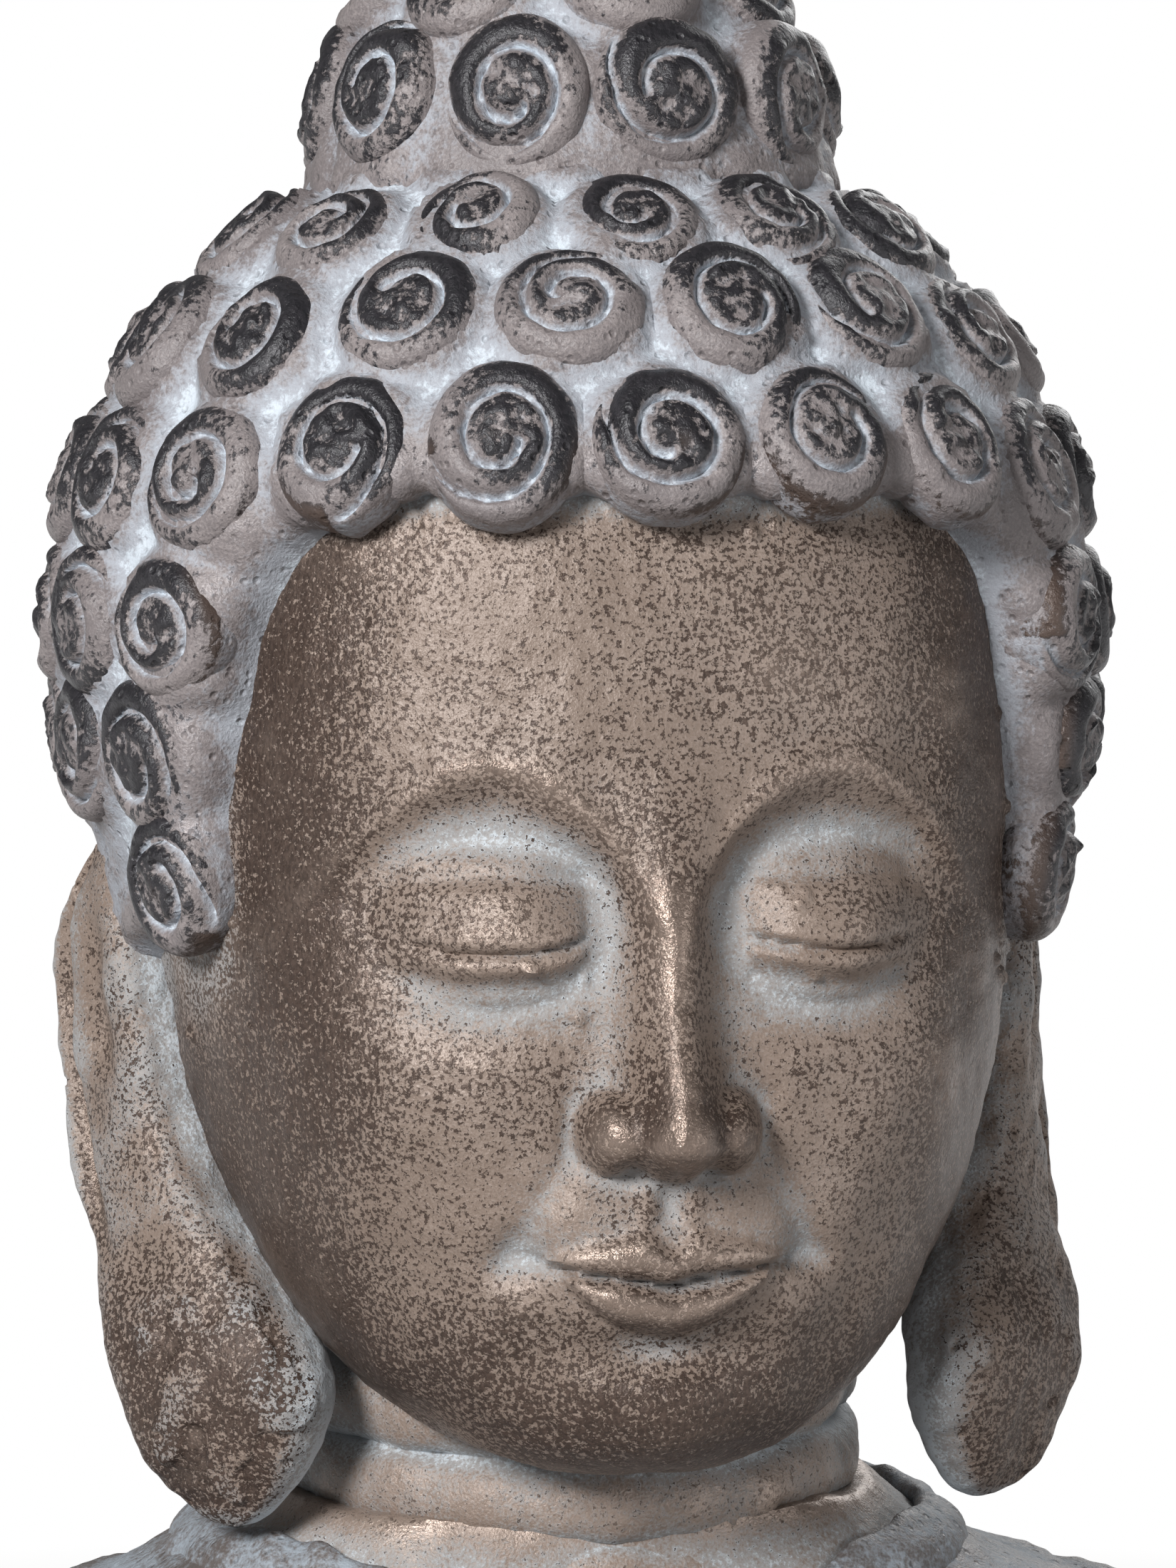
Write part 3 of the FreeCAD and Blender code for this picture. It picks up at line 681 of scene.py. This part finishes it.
curl = {
    "segments": 72, "rings": 40, "rise": 0.68, "foot": 4.0,
    "turns": [0.0, 0.15, 0.4, 0.7, 1.0, 1.2, 1.4, 1.6],  # how the groove winds in, as shares of the radius
    "wound": [1.0, 0.78, 0.62, 0.55, 0.49, 0.40, 0.26, 0.06],
    "groove": 1.3, "grooveHalf": 0.42, "shoulder": 0.9, "shoulderHalf": 1.3, "dish": 0.6,
    "size": (1.02, 1.1), "height": (0.88, 1.06), "laps": (1.15, 1.6), "squash": (-0.03, 0.07), "leftHanded": 0.2,
    "top": 132.0, "overhang": 108.0,  # degrees from the pole: the shown part of the ball, bent past its widest ring
    "swell": 0.16, "swellSize": 5.0, "knock": 0.3, "knockSize": 3.4, "tilt": 0.035,
    "footWash": 0.5, "grooveWash": 0.12, "buttonBrush": 0.5, "rollBrush": 0.42, "caughtBrush": 0.4, "warmBrush": 0.7,
    "caughtFrom": (0.4, 0.8), "brushSpread": (-0.18, 0.12),
}


def shapeCurl(azimuth, down, radius, draw):  # a fat roll wound in to a dished button, standing on z = 0
    size = radius * draw.uniform(*curl["size"])
    start = draw.uniform(0, 2 * math.pi)
    hand = 1 if draw.random() < 1 - curl["leftHanded"] else -1
    rise = curl["rise"] * radius * draw.uniform(*curl["height"])
    last = draw.uniform(*curl["laps"])
    top = math.radians(curl["top"])
    overhang = math.radians(curl["overhang"])
    tilt = np.clip(down / top, 0, 1) * overhang
    under = down > top
    close = np.clip((math.pi - down) / (math.pi - top), 0, 1)
    r = np.where(under, size * math.sin(overhang) * close ** 0.5, size * np.sin(tilt))
    h = rise * np.sign(np.cos(tilt)) * np.abs(np.cos(tilt)) ** 0.62
    h = np.where(under, h - (curl["foot"] - 1) * (1 - close), h)
    around = (hand * (azimuth - start) / (2 * math.pi)) % 1.0
    fromGroove = np.full(len(r), 99.0)
    for lap in (0, 1):
        turn = around + lap
        line = size * np.interp(turn, curl["turns"], curl["wound"])
        gap = np.abs(r - line) + 9 * smooth(last - 0.06, last + 0.12, turn)
        fromGroove = np.minimum(fromGroove, gap)
    cut = curl["groove"] * np.exp(-(fromGroove / curl["grooveHalf"]) ** 2)
    cut += curl["shoulder"] * np.exp(-(fromGroove / curl["shoulderHalf"]) ** 2)
    cut *= min(1.0, radius / 8.0) * smooth(1.06 * size, 0.9 * size, r) * (~under)
    h = h - cut - curl["dish"] * smooth(0.5 * size, 0.3 * size, r) * (~under)
    squash = 1 + draw.uniform(*curl["squash"])
    shape = np.stack([r * np.sin(azimuth) / squash, -r * np.cos(azimuth) * squash, h], 1)
    return shape, r / size, fromGroove


def makeCurls():
    ball = startBall("curl_form", curl["segments"], curl["rings"])
    azimuth, down = ballAngles(ball)
    seed = 100
    for node in curlNodes:
        rolls = []
        for foot, way, radius in allCurls[node]:
            seed += 1
            draw = np.random.default_rng(seed)
            shape, out, fromGroove = shapeCurl(azimuth, down, radius, draw)
            shape += curl["swell"] * ripple(shape + seed, curl["swellSize"], seed)[:, None] * (0.3, 0.3, 1.0)
            way = way + draw.normal(0, curl["tilt"], 3)
            way /= np.linalg.norm(way)
            side = np.cross((0, 0, 1.0) if abs(way[2]) < 0.95 else (0, 1.0, 0), way)
            side /= np.linalg.norm(side)
            up = np.cross(way, side)
            roll = ball.copy()
            roll.data = ball.data.copy()
            bpy.context.scene.collection.objects.link(roll)
            knocks = ripple(shape + 7 * seed, curl["knockSize"], seed)
            shape[:, 2] += curl["knock"] * knocks * smooth(0.6, 0.4, out)
            points = foot + shape @ np.stack([side, up, way])
            setPoints(roll, points)
            addRelief(roll, 1.5, 0.5, 2)
            edge = openingDistance(points[:, 0], points[:, 2])
            warm = smooth(9, 4, edge) * smooth(2.5, 4.5, fromGroove) * (points[:, 1] < 0)
            core = smooth(0.62, 0.45, out) * (fromGroove > 0.5)
            washed = curl["footWash"] * smooth(2.4, 0.0, shape[:, 2])
            washed += curl["grooveWash"] * np.exp(-(fromGroove / 0.7) ** 2)
            setAttribute(roll, "washed", washed)
            caught = np.cos(azimuth - math.pi - draw.normal(*curl["caughtFrom"]))  # the side the brush met
            crest = smooth(1.03, 0.86, out) * smooth(0.48, 0.62, out)
            brushed = curl["buttonBrush"] * core + (curl["rollBrush"] + curl["caughtBrush"] * caught) * crest
            brushed += curl["warmBrush"] * warm + draw.uniform(*curl["brushSpread"])
            setAttribute(roll, "brushed", brushed)
            setAttribute(roll, "warm", warm)
            rolls.append(roll)
        deselectAll()
        for roll in rolls:
            roll.select_set(True)
        bpy.context.view_layer.objects.active = rolls[0]
        if len(rolls) > 1:
            bpy.ops.object.join()
        piece = bpy.context.view_layer.objects.active
        piece.name = piece.data.name = node.replace("_curl", "_snail_curl")
        finishPiece(piece, node, hairStone)
    bpy.data.objects.remove(ball)


makeCurls()


ear = {
    "segments": 170, "rings": 240, "top": 178.0, "bottom": 88.5,
    "at": [0.0, 0.2, 0.42, 0.6, 0.78, 1.0],  # share of the way down, for the lists below
    "x": [60.0, 60.5, 58.0, 55.0, 51.0, 50.0], "y": [6.0, 6.0, 1.0, -7.0, -16.0, -17.0],
    "halfWidth": [9.0, 13.5, 11.5, 13.0, 18.5, 16.5], "thick": [4.5, 5.5, 5.5, 6.5, 8.5, 7.5],
    "inward": [8.0, 12.0, 13.0, 12.0, 9.0, 7.0], "turn": [12, 14, 20, 34, 48, 50],
    "rim": 1.5, "rimAt": -0.86, "rimHalf": 0.13, "gutter": 1.7, "gutterAt": -0.55, "gutterHalf": 0.15,
    "bowl": 2.4, "bowlAt": 0.25, "bowlHalf": 0.3, "lobeRim": 0.8, "lobeRimAt": 0.8, "lobeRimHalf": 0.22,
    "hang": 2.0,  # both lobes hang this far to one side
    "chip": 0.7, "chipAt": (-50, 107), "chipEdge": (7.6, 6.9), "uneven": ((0.28, 13, 31), (0.09, 3.5, 32)),
}


def makeEar(name, node, side):
    ball = startBall(name, ear["segments"], ear["rings"])
    azimuth, down = ballAngles(ball)
    share = (1 - np.cos(down)) / 2 * 0.35 + down / math.pi * 0.65
    along = {key: curveThrough(share, ear["at"], ear[key]) for key in ear if isinstance(ear[key], list)}
    ends = np.clip(np.sin(down), 0, 1) ** np.interp(share, [0, 0.6, 1], [0.6, 0.5, 0.42])
    u = np.sign(np.sin(azimuth)) * np.abs(np.sin(azimuth)) ** 0.9  # across, towards the face
    n = np.sign(np.cos(azimuth)) * np.abs(np.cos(azimuth)) ** 0.75  # out of the ear
    outer = smooth(0.05, 0.5, n)
    upper = smooth(0.02, 0.1, share) * smooth(0.66, 0.5, share)
    hollow = smooth(0.08, 0.2, share) * smooth(0.4, 0.3, share)
    relief = upper * ear["rim"] * np.exp(-((u - ear["rimAt"]) / ear["rimHalf"]) ** 2)
    relief -= upper * ear["gutter"] * np.exp(-((u - ear["gutterAt"]) / ear["gutterHalf"]) ** 2)
    relief -= hollow * ear["bowl"] * np.exp(-((u - ear["bowlAt"]) / ear["bowlHalf"]) ** 2)
    lobeRim = np.exp(-((np.abs(u) - ear["lobeRimAt"]) / ear["lobeRimHalf"]) ** 2)
    relief += ear["lobeRim"] * smooth(0.7, 0.8, share) * lobeRim
    turn = np.radians(along["turn"])
    outward = np.stack([np.cos(turn), -np.sin(turn), 0 * turn], 1)
    across = np.stack([-np.sin(turn), -np.cos(turn), 0 * turn], 1)
    z = ear["top"] + (ear["bottom"] - ear["top"]) * share
    spine = np.stack([along["x"], along["y"], z], 1)
    points = spine + across * (along["halfWidth"] * ends * u)[:, None]
    depth = np.where(n > 0, along["thick"], along["inward"])
    points += outward * (depth * ends * n + relief * outer * ends)[:, None]
    points[:, 0] = points[:, 0] * side + ear["hang"] * smooth(0.45, 0.8, share)
    setPoints(ball, points)
    if side < 0:
        pickOnly(ball)
        bpy.ops.object.mode_set(mode="EDIT")
        bpy.ops.mesh.select_all(action="SELECT")
        bpy.ops.mesh.flip_normals()
        bpy.ops.object.mode_set(mode="OBJECT")
    normals = normalsOf(ball)
    rise = uneven(points, ear["uneven"])
    chipX, chipZ = points[:, 0] - ear["chipAt"][0], points[:, 2] - ear["chipAt"][1]
    flake = np.hypot(chipX, chipZ * 0.7) + 3.0 * ripple(points, 9, 33)
    rise -= ear["chip"] * smooth(*ear["chipEdge"], flake) * (side < 0)  # a chip off the right lobe
    points += normals * rise[:, None]
    points = addBubbles(points, normals, outer > 0.5, 24, (0.4, 0.8), 34)
    setPoints(ball, points)
    addRelief(ball, 4.0, 1.0)
    wash = 0.12 * smooth(0.75, 0.4, share) + 0.4 * smooth(0.75, 1.0, u) * smooth(0.6, 0.9, share)
    wash += 0.4 * smooth(0.3, -0.3, n) * (u > 0)
    setAttribute(ball, "washed", np.clip(wash, 0, 1))
    setAttribute(ball, "brushed", (0.15 + 0.3 * smooth(0.6, 0.78, share)) * outer)
    finishPiece(ball, node, skinStone)


makeEar("ear_left", "left_ear", 1)
makeEar("ear_right", "right_ear", -1)


neck = {
    "segments": 260, "rings": 170, "radius": 35.2, "middleY": 5.0, "bottom": 56.0, "top": 124.0,
    "fold": 10.5, "crease": 89.0, "roll": 3.6, "hang": 2.2, "tuck": 1.4, "tuckAt": 0.62,
    "uneven": ((0.3, 14, 41), (0.08, 3.5, 42)),
}


def makeNeck():
    ball = startBall("neck", neck["segments"], neck["rings"])
    azimuth, down = ballAngles(ball)
    share = down / math.pi
    z = neck["top"] + (neck["bottom"] - neck["top"]) * smooth(0.04, 0.96, share)
    hang = neck["hang"] * np.cos(azimuth)  # the folds hang lower at the front
    turns = (z + hang - neck["crease"]) / neck["fold"]
    part = 2 * (turns - np.floor(turns)) - 1
    ring = neck["radius"] + neck["roll"] * np.sqrt(np.clip(1 - part ** 2, 0, 1))
    tuck = np.exp(-((azimuth - neck["tuckAt"]) / 0.03) ** 2) * smooth(92, 88, z) * smooth(80, 84, z)
    ring = (ring - neck["tuck"] * tuck) * np.clip(np.sin(math.pi * share) * 6, 0, 1)
    points = np.stack([ring * np.sin(azimuth), neck["middleY"] - ring * np.cos(azimuth), z], 1)
    setPoints(ball, points)
    normals = normalsOf(ball)
    points += normals * uneven(points, neck["uneven"])[:, None]
    points = addBubbles(points, normals, (points[:, 1] < 20) & (points[:, 2] > 70), 60, (0.4, 0.9), 43)
    setPoints(ball, points)
    addRelief(ball, 4.0, 1.0)
    setAttribute(ball, "washed", 0.42 + 0.3 * smooth(0.8, 1.3, np.abs(azimuth)))
    finishPiece(ball, "neck_sleeve", skinStone)


makeNeck()


bust = {
    "segments": 480, "rings": 230, "middleY": 4.0, "power": 2.5, "wall": 9.0, "plateTop": 12.3,
    "height": [90.0, 82.0, 76.0, 71.0, 65.0, 56.5, 45.0, 30.0, 14.0, 2.0],
    "halfWidth": [39.5, 49.0, 60.0, 72.0, 91.0, 109.0, 119.0, 122.0, 118.5, 112.0],
    "halfDepth": [35.0, 37.0, 39.5, 43.0, 47.5, 52.5, 56.0, 57.0, 54.5, 50.0],
    "neckline": (50.0, 45.0), "cloth": 1.2, "pleat": 1.4, "pleatGap": 12.0, "pleatCrest": 0.72, "pleatSway": 7.0,
    "pleatWander": 3.0, "uneven": ((0.35, 18, 52), (0.1, 4, 53)), "robeWash": 0.3, "skinWash": 0.45, "seam": 0.0,
}
collar = {
    "halfBand": 3.4, "stand": 3.0, "lift": 0.8, "crimp": 0.3, "crimps": 23, "washed": 0.4,
    "uneven": ((0.25, 9, 61), (0.08, 3, 62)),
}


def bustSize(z):
    upwards = [bust[key][::-1] for key in ("height", "halfWidth", "halfDepth")]
    return curveThrough(z, upwards[0], upwards[1]), curveThrough(z, upwards[0], upwards[2])


def bustHeight(x, y):  # where the plain bust lies under a point seen from above
    low, high = np.full(len(x), 30.0), np.full(len(x), 90.0)
    for _ in range(24):
        z = (low + high) / 2
        wide, deep = bustSize(z)
        within = (np.abs(x) / wide) ** bust["power"] + (np.abs(y - bust["middleY"]) / deep) ** bust["power"] < 1
        low, high = np.where(within, z, low), np.where(within, high, z)
    return (low + high) / 2


def makeBust():
    ball = startBall("bust_form", bust["segments"], bust["rings"])
    azimuth, down = ballAngles(ball)
    heights = np.linspace(bust["height"][0], bust["height"][-1], 60)
    wide, deep = bustSize(heights)
    centre, wall = bust["height"][0], bust["wall"]
    inner = [(wide[-1] - wall, deep[-1] - wall, heights[-1]), (wide[-1] - wall, deep[-1] - wall, bust["plateTop"])]
    outline = np.array([(0, 0, centre), *zip(wide, deep, heights), *inner, (0, 0, bust["plateTop"])], float)
    length = np.concatenate([[0], np.cumsum(np.linalg.norm(np.diff(outline, axis=0), axis=1))])
    at = down / math.pi * length[-1]
    w, d, z = (np.interp(at, length, outline[:, i]) for i in range(3))
    power = 2 / bust["power"]
    x = w * np.sign(np.sin(azimuth)) * np.abs(np.sin(azimuth)) ** power
    y = bust["middleY"] - d * np.sign(np.cos(azimuth)) * np.abs(np.cos(azimuth)) ** power
    points = np.stack([x, y, z], 1)
    setPoints(ball, points)
    normals = normalsOf(ball)
    outside = (at > 0) & (at < length[61])
    oval = np.hypot(x / bust["neckline"][0], (y - bust["middleY"]) / bust["neckline"][1])
    fromEdge = (oval - 1) * 50
    drop = at - length[1]
    robe = smooth(-1, 1.5, fromEdge) * smooth(1, 6, length[61] - at)
    drape = drop + bust["pleatSway"] * np.sin(azimuth * 2 + 0.5) * smooth(10, 60, drop)
    drape += bust["pleatWander"] * ripple(points, 60, 51)
    turns = drape / bust["pleatGap"]
    part = turns - np.floor(turns)
    crest = bust["pleatCrest"]
    pleat = np.where(part < crest, part / crest, (1 - part) / (1 - crest)) ** 1.4
    rise = robe * (bust["cloth"] + bust["pleat"] * pleat * smooth(6, 16, fromEdge))
    rise += uneven(points, bust["uneven"])
    points += normals * (rise * outside)[:, None]
    points[:, 2] = np.maximum(points[:, 2], bust["height"][-1])
    setPoints(ball, points)
    addRelief(ball, 5.0, 1.1)
    setAttribute(ball, "washed", np.where(robe > 0.5, bust["robeWash"], bust["skinWash"]) * outside)
    ball.data.materials.append(robeStone)
    ball.data.materials.append(skinStone)
    corners = readArray(ball.data.loops, "vertex_index", 1, np.int32).ravel()
    starts = readArray(ball.data.polygons, "loop_start", 1, np.int32).ravel()
    bare = ((robe < 0.5) & (at < length[40]))[corners[starts]]
    ball.data.polygons.foreach_set("material_index", bare.astype(np.int32))
    for name, isFront, node in (("bust_front", True, "front_bust_shell"), ("bust_rear", False, "rear_bust_shell")):
        half = keepHalf(ball, name, isFront, bust["seam"])
        finishPiece(half, node)
    bpy.data.objects.remove(ball)


def makeCollar():  # the rolled hem of the robe
    deselectAll()
    bpy.ops.mesh.primitive_torus_add(major_segments=360, minor_segments=28, major_radius=50 * mm, minor_radius=3 * mm)
    hem = bpy.context.object
    hem.name = hem.data.name = "robe_hem"
    p = pointsOf(hem)
    azimuth = np.arctan2(p[:, 0], -p[:, 1])
    out = (np.hypot(p[:, 0], p[:, 1]) - 50) / 3
    up = p[:, 2] / 3
    x = (bust["neckline"][0] + collar["halfBand"] * out) * np.sin(azimuth)
    y = bust["middleY"] - (bust["neckline"][1] + collar["halfBand"] * out) * np.cos(azimuth)
    lie = bustHeight(x, y)
    z = lie + collar["lift"] + collar["stand"] * up + collar["crimp"] * np.sin(azimuth * collar["crimps"]) * out
    points = np.stack([x, y, z], 1)
    setPoints(hem, points)
    normals = normalsOf(hem)
    points += normals * uneven(points, collar["uneven"])[:, None]
    setPoints(hem, points)
    addRelief(hem, 2.5, 0.8)
    setAttribute(hem, "washed", np.full(len(points), collar["washed"]))
    finishPiece(hem, "robe_collar", robeStone)


makeBust()
makeCollar()


view = {"azimuth": -11.0, "elevation": 4.5, "distance": 857.0, "lens": 150.0, "aimUp": 181.6, "aimRight": 2.0}


def makeCamera():
    a, e = math.radians(view["azimuth"]), math.radians(view["elevation"])
    back = Vector((math.sin(a) * math.cos(e), -math.cos(a) * math.cos(e), math.sin(e)))
    right = Vector((math.cos(a), math.sin(a), 0))
    aim = (Vector((0, 0, view["aimUp"])) + right * view["aimRight"]) * mm
    data = bpy.data.cameras.new("camera")
    data.lens = view["lens"]
    data.clip_start = 0.01
    camera = bpy.data.objects.new("camera", data)
    bpy.context.scene.collection.objects.link(camera)
    camera.location = aim + back * view["distance"] * mm
    camera.rotation_mode = "QUATERNION"
    camera.rotation_quaternion = (-back).to_track_quat("-Z", "Y")
    bpy.context.scene.camera = camera


lights = {  # place, aim and size in metres, then watts
    "key": ((-0.78, -0.92, 0.7), (0, 0, 0.18), (0.36, 0.36), 24),
    "fill": ((0.95, -0.95, 0.08), (0, 0, 0.13), (0.8, 0.6), 5.5),
    "back": ((0.6, 0.9, 0.7), (0, 0, 0.2), (0.6, 0.6), 6),
}
stage = {"floor": 6.0, "dome": 8.0, "world": 0.2, "paper": "f2f0ed", "paperEnds": (0.22, 0.42)}


def makeLight(name, place, aim, size, power):
    data = bpy.data.lights.new(name, "AREA")
    data.shape = "RECTANGLE"
    data.size, data.size_y = size
    data.energy = power
    light = bpy.data.objects.new(name, data)
    bpy.context.scene.collection.objects.link(light)
    light.location = place
    light.rotation_mode = "QUATERNION"
    light.rotation_quaternion = (Vector(aim) - Vector(place)).to_track_quat("-Z", "Y")


def stageMaterial():  # pale floor that takes the shadow, white further out
    material, tree = startMaterial("floor paper")
    place = addNode(tree, "ShaderNodeTexCoord").outputs["Object"]
    far = addNode(tree, "ShaderNodeVectorMath", {"operation": "LENGTH"}, {0: place}).outputs["Value"]
    share = addNode(tree, "ShaderNodeMapRange",
                    {"From Min": stage["paperEnds"][0], "From Max": stage["paperEnds"][1]}, {"Value": far})
    paper = addNode(tree, "ShaderNodeBsdfDiffuse", {"Color": linearColour(stage["paper"])})
    glow = addNode(tree, "ShaderNodeEmission", {"Color": linearColour("ffffff"), "Strength": 1.0})
    mixed = addNode(tree, "ShaderNodeMixShader", None,
                    {0: share.outputs[0], 1: paper.outputs[0], 2: glow.outputs[0]})
    addNode(tree, "ShaderNodeOutputMaterial", None, {"Surface": mixed.outputs[0]})
    return material


def makeStage():
    deselectAll()
    bpy.ops.mesh.primitive_circle_add(vertices=128, radius=stage["floor"], fill_type="NGON")
    floor = bpy.context.object
    floor.name = "floor"
    floor.data.materials.append(stageMaterial())
    floor.visible_diffuse = False
    world = bpy.data.worlds.new("studio")
    bpy.context.scene.world = world
    world.use_nodes = True
    world.node_tree.nodes["Background"].inputs["Color"].default_value = linearColour("ffffff")
    world.node_tree.nodes["Background"].inputs["Strength"].default_value = stage["world"]
    deselectAll()
    bpy.ops.mesh.primitive_uv_sphere_add(segments=64, ring_count=32, radius=stage["dome"])
    dome = bpy.context.object
    dome.name = "backdrop"
    glow, tree = startMaterial("backdrop white")
    white = addNode(tree, "ShaderNodeEmission", {"Color": linearColour("ffffff"), "Strength": 1.0})
    addNode(tree, "ShaderNodeOutputMaterial", None, {"Surface": white.outputs[0]})
    dome.data.materials.append(glow)
    dome.visible_diffuse = dome.visible_glossy = dome.visible_shadow = False
    for name, values in lights.items():
        makeLight(name, *values)
    bpy.context.scene.view_settings.view_transform = "Standard"


makeCamera()
makeStage()
